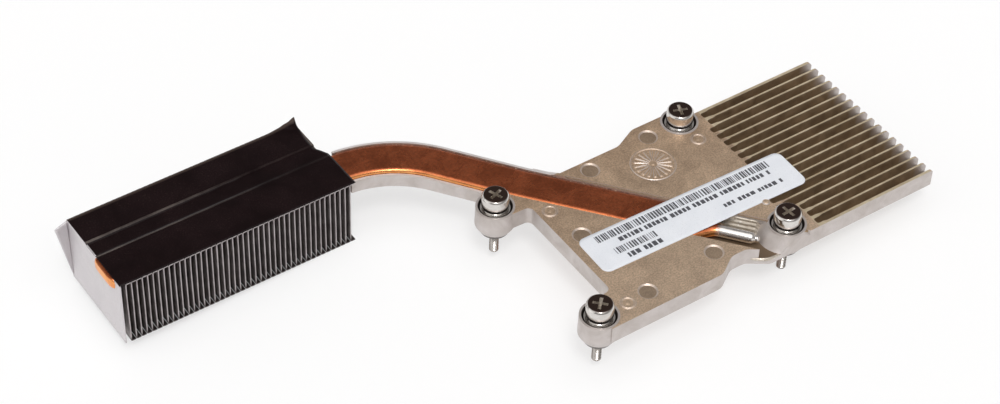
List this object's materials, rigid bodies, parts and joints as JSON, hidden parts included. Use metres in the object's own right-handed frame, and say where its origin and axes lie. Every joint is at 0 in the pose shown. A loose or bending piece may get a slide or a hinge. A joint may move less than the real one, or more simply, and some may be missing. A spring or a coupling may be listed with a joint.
{
  "type": "notebook cpu cooler",
  "caption": "Die-cast processor heatsink with cast fins, spring-loaded captive screws and a flattened heat pipe running in a tray to a stamped fin stack.",
  "frame": {"origin": "centre of the four-screw pattern on the face of the contact plate that rests on the processor", "axes": "+Z from the processor up through the plate, +X along the cast fins away from the fin stack, +Y towards the heat pipe's bend"},
  "size_m": [0.1949, 0.102, 0.0241],
  "materials": {
    "cast_metal": "die-cast, satin, warm grey with faint stains",
    "copper_pipe": "flattened copper tube, dull red-brown, tinned silver end",
    "copper_block": "milled copper",
    "fin_end_sheet": "rolled sheet, satin",
    "fin_sheet": "rolled sheet, satin",
    "tape": "glossy black film with creases",
    "label": "printed white label",
    "screw_nickel": "nickel plated, polished side and dark top",
    "spring_steel": "plated spring wire",
    "ring_steel": "stamped steel"
  },
  "bodies": {
    "cooler": {"base_plate": "cast_metal", "heat_pipe": "copper_pipe", "contact_plate": "copper_block", "fin_end": "fin_end_sheet", "fins_01": "fin_sheet", "fins_02": "fin_sheet", "fins_03": "fin_sheet", "fins_04": "fin_sheet", "fins_05": "fin_sheet", "fins_06": "fin_sheet", "fins_07": "fin_sheet", "fins_08": "fin_sheet", "fins_09": "fin_sheet", "fins_10": "fin_sheet", "fins_11": "fin_sheet", "fins_12": "fin_sheet", "fins_13": "fin_sheet", "fins_14": "fin_sheet", "fins_15": "fin_sheet", "fins_16": "fin_sheet", "fins_17": "fin_sheet", "fins_18": "fin_sheet", "fins_19": "fin_sheet", "fins_20": "fin_sheet", "fins_21": "fin_sheet", "fins_22": "fin_sheet", "insulating_tape": "tape", "label": "label", "spring_1": "spring_steel", "spring_2": "spring_steel", "spring_3": "spring_steel", "spring_4": "spring_steel"},
    "ring_1": {"retaining_ring_1": "ring_steel"},
    "captive_screw_1": {"screw_1": "screw_nickel"},
    "ring_2": {"retaining_ring_2": "ring_steel"},
    "captive_screw_2": {"screw_2": "screw_nickel"},
    "ring_3": {"retaining_ring_3": "ring_steel"},
    "captive_screw_3": {"screw_3": "screw_nickel"},
    "ring_4": {"retaining_ring_4": "ring_steel"},
    "captive_screw_4": {"screw_4": "screw_nickel"}
  },
  "joints": [
    {"name": "screw_1_press", "type": "slide", "parent": "cooler", "child": "ring_1", "axis": [0, 0, -1], "range_m": [0, 0.002], "stiffness_N_per_m": 400, "springref_m": -0.001, "deforming": ["spring_1"]},
    {"name": "screw_1_turn", "type": "hinge", "parent": "ring_1", "child": "captive_screw_1", "pos_m": [-0.0285, 0.0219, 0.004], "axis": [0, 0, 1], "continuous": true},
    {"name": "screw_2_press", "type": "slide", "parent": "cooler", "child": "ring_2", "axis": [0, 0, -1], "range_m": [0, 0.002], "stiffness_N_per_m": 400, "springref_m": -0.001, "deforming": ["spring_2"]},
    {"name": "screw_2_turn", "type": "hinge", "parent": "ring_2", "child": "captive_screw_2", "pos_m": [-0.0285, -0.0219, 0.004], "axis": [0, 0, 1], "continuous": true},
    {"name": "screw_3_press", "type": "slide", "parent": "cooler", "child": "ring_3", "axis": [0, 0, -1], "range_m": [0, 0.002], "stiffness_N_per_m": 400, "springref_m": -0.001, "deforming": ["spring_3"]},
    {"name": "screw_3_turn", "type": "hinge", "parent": "ring_3", "child": "captive_screw_3", "pos_m": [0.0285, 0.0219, 0.004], "axis": [0, 0, 1], "continuous": true},
    {"name": "screw_4_press", "type": "slide", "parent": "cooler", "child": "ring_4", "axis": [0, 0, -1], "range_m": [0, 0.002], "stiffness_N_per_m": 400, "springref_m": -0.001, "deforming": ["spring_4"]},
    {"name": "screw_4_turn", "type": "hinge", "parent": "ring_4", "child": "captive_screw_4", "pos_m": [0.0285, -0.0219, 0.004], "axis": [0, 0, 1], "continuous": true}
  ]
}
